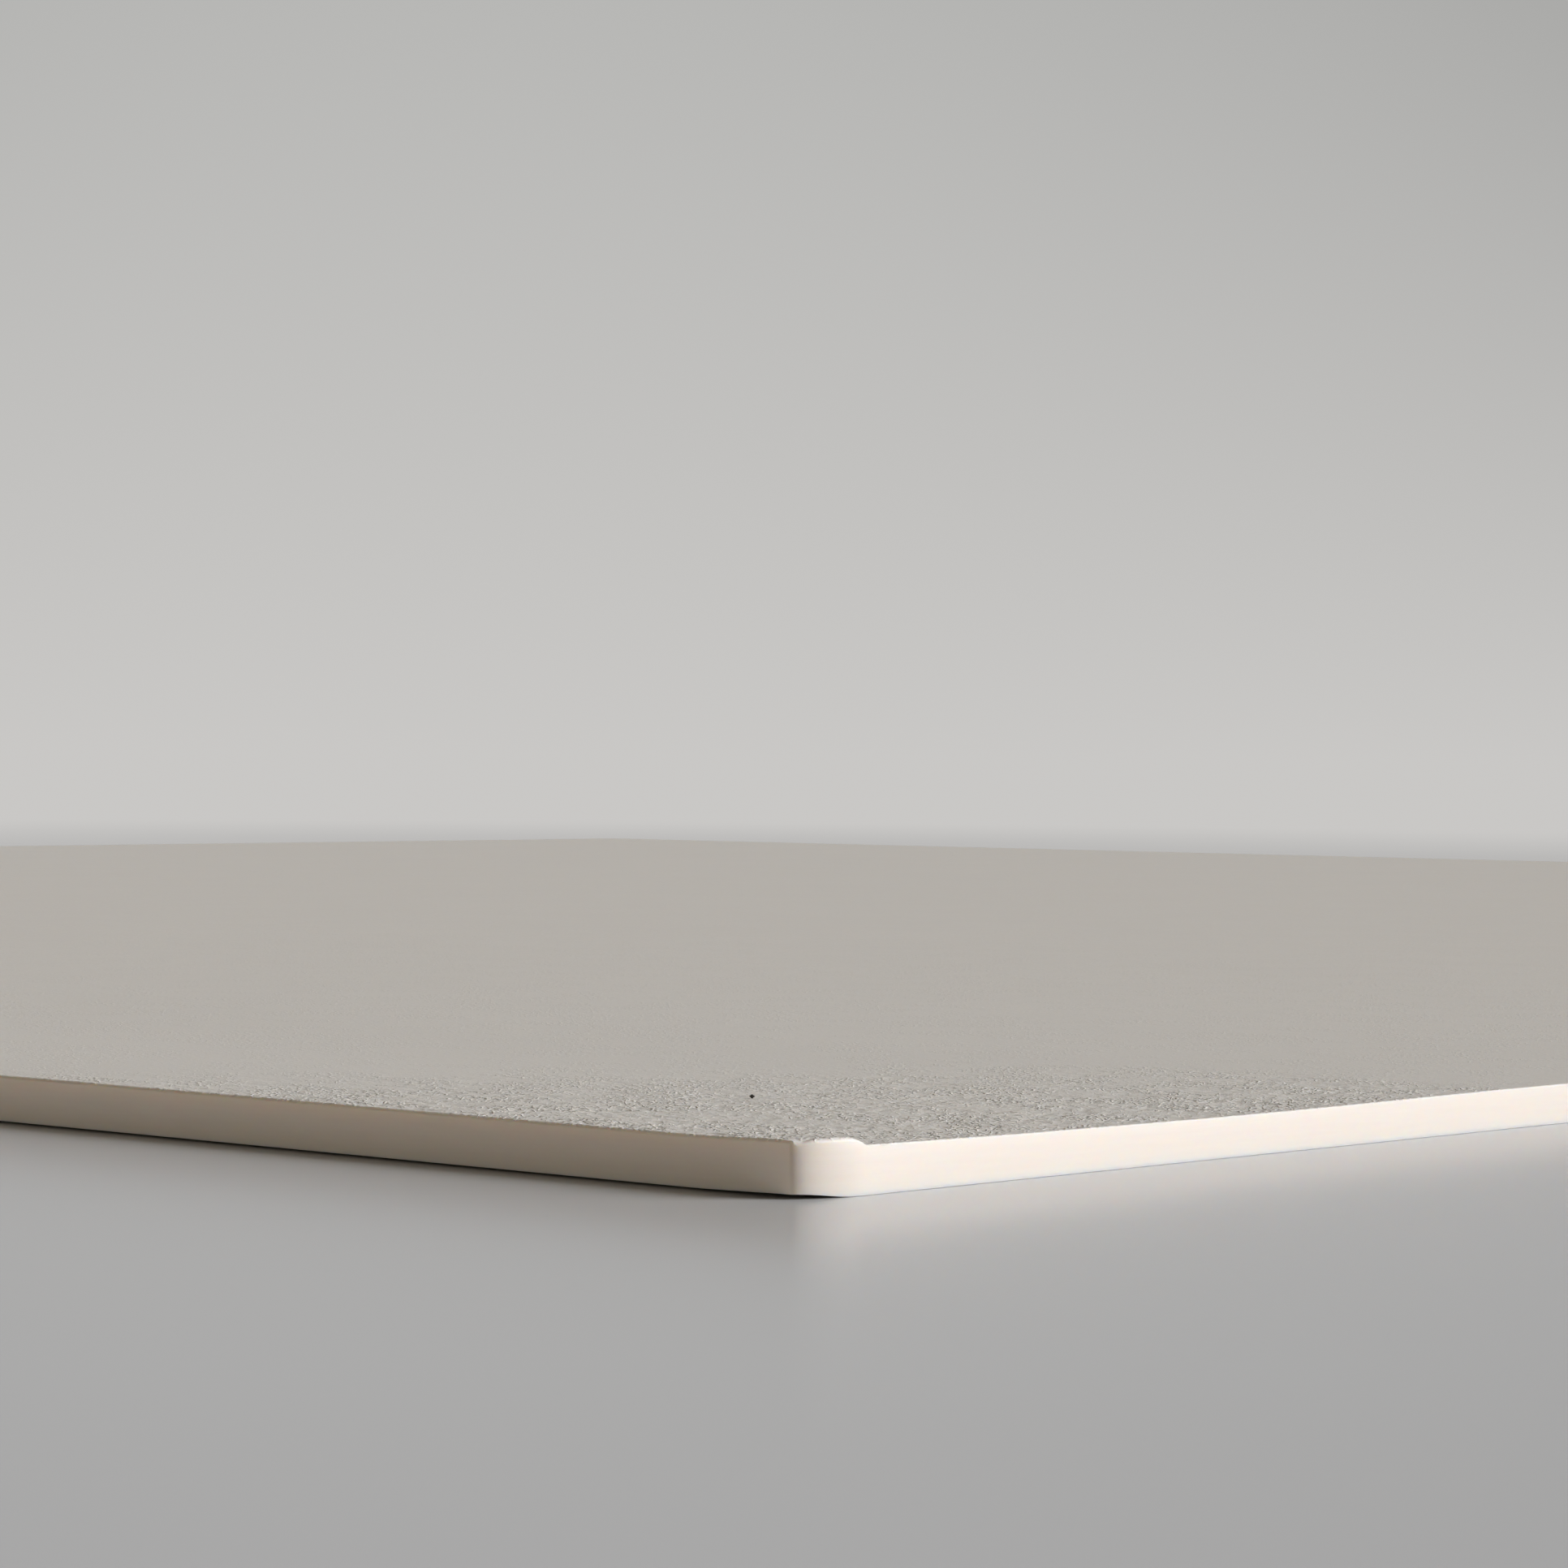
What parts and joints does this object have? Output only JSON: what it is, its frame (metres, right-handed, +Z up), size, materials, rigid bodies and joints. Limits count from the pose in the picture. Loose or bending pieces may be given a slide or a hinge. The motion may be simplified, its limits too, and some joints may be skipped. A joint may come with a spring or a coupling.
{
  "type": "foam board",
  "caption": "Flat square sheet of rigid foam board, one solid, with plain cut edges, a front edge turned up into a low band and one blunted, slightly curled corner. Sheet stock.",
  "frame": {"origin": "centre of the sheet's underside, which lies on the floor", "axes": "+Z up, through the sheet's thickness; X along its length and Y along its width; the turned-up front edge faces -Y, and the blunted corner is at +X, -Y"},
  "size_m": [1.22, 1.22, 0.0062],
  "materials": {
    "foamed_plastic": "warm white foamed plastic: matte fine-grained skin on both faces, smooth satin cut edges"
  },
  "bodies": {
    "root": {"foam_board": "foamed_plastic"}
  },
  "joints": []
}
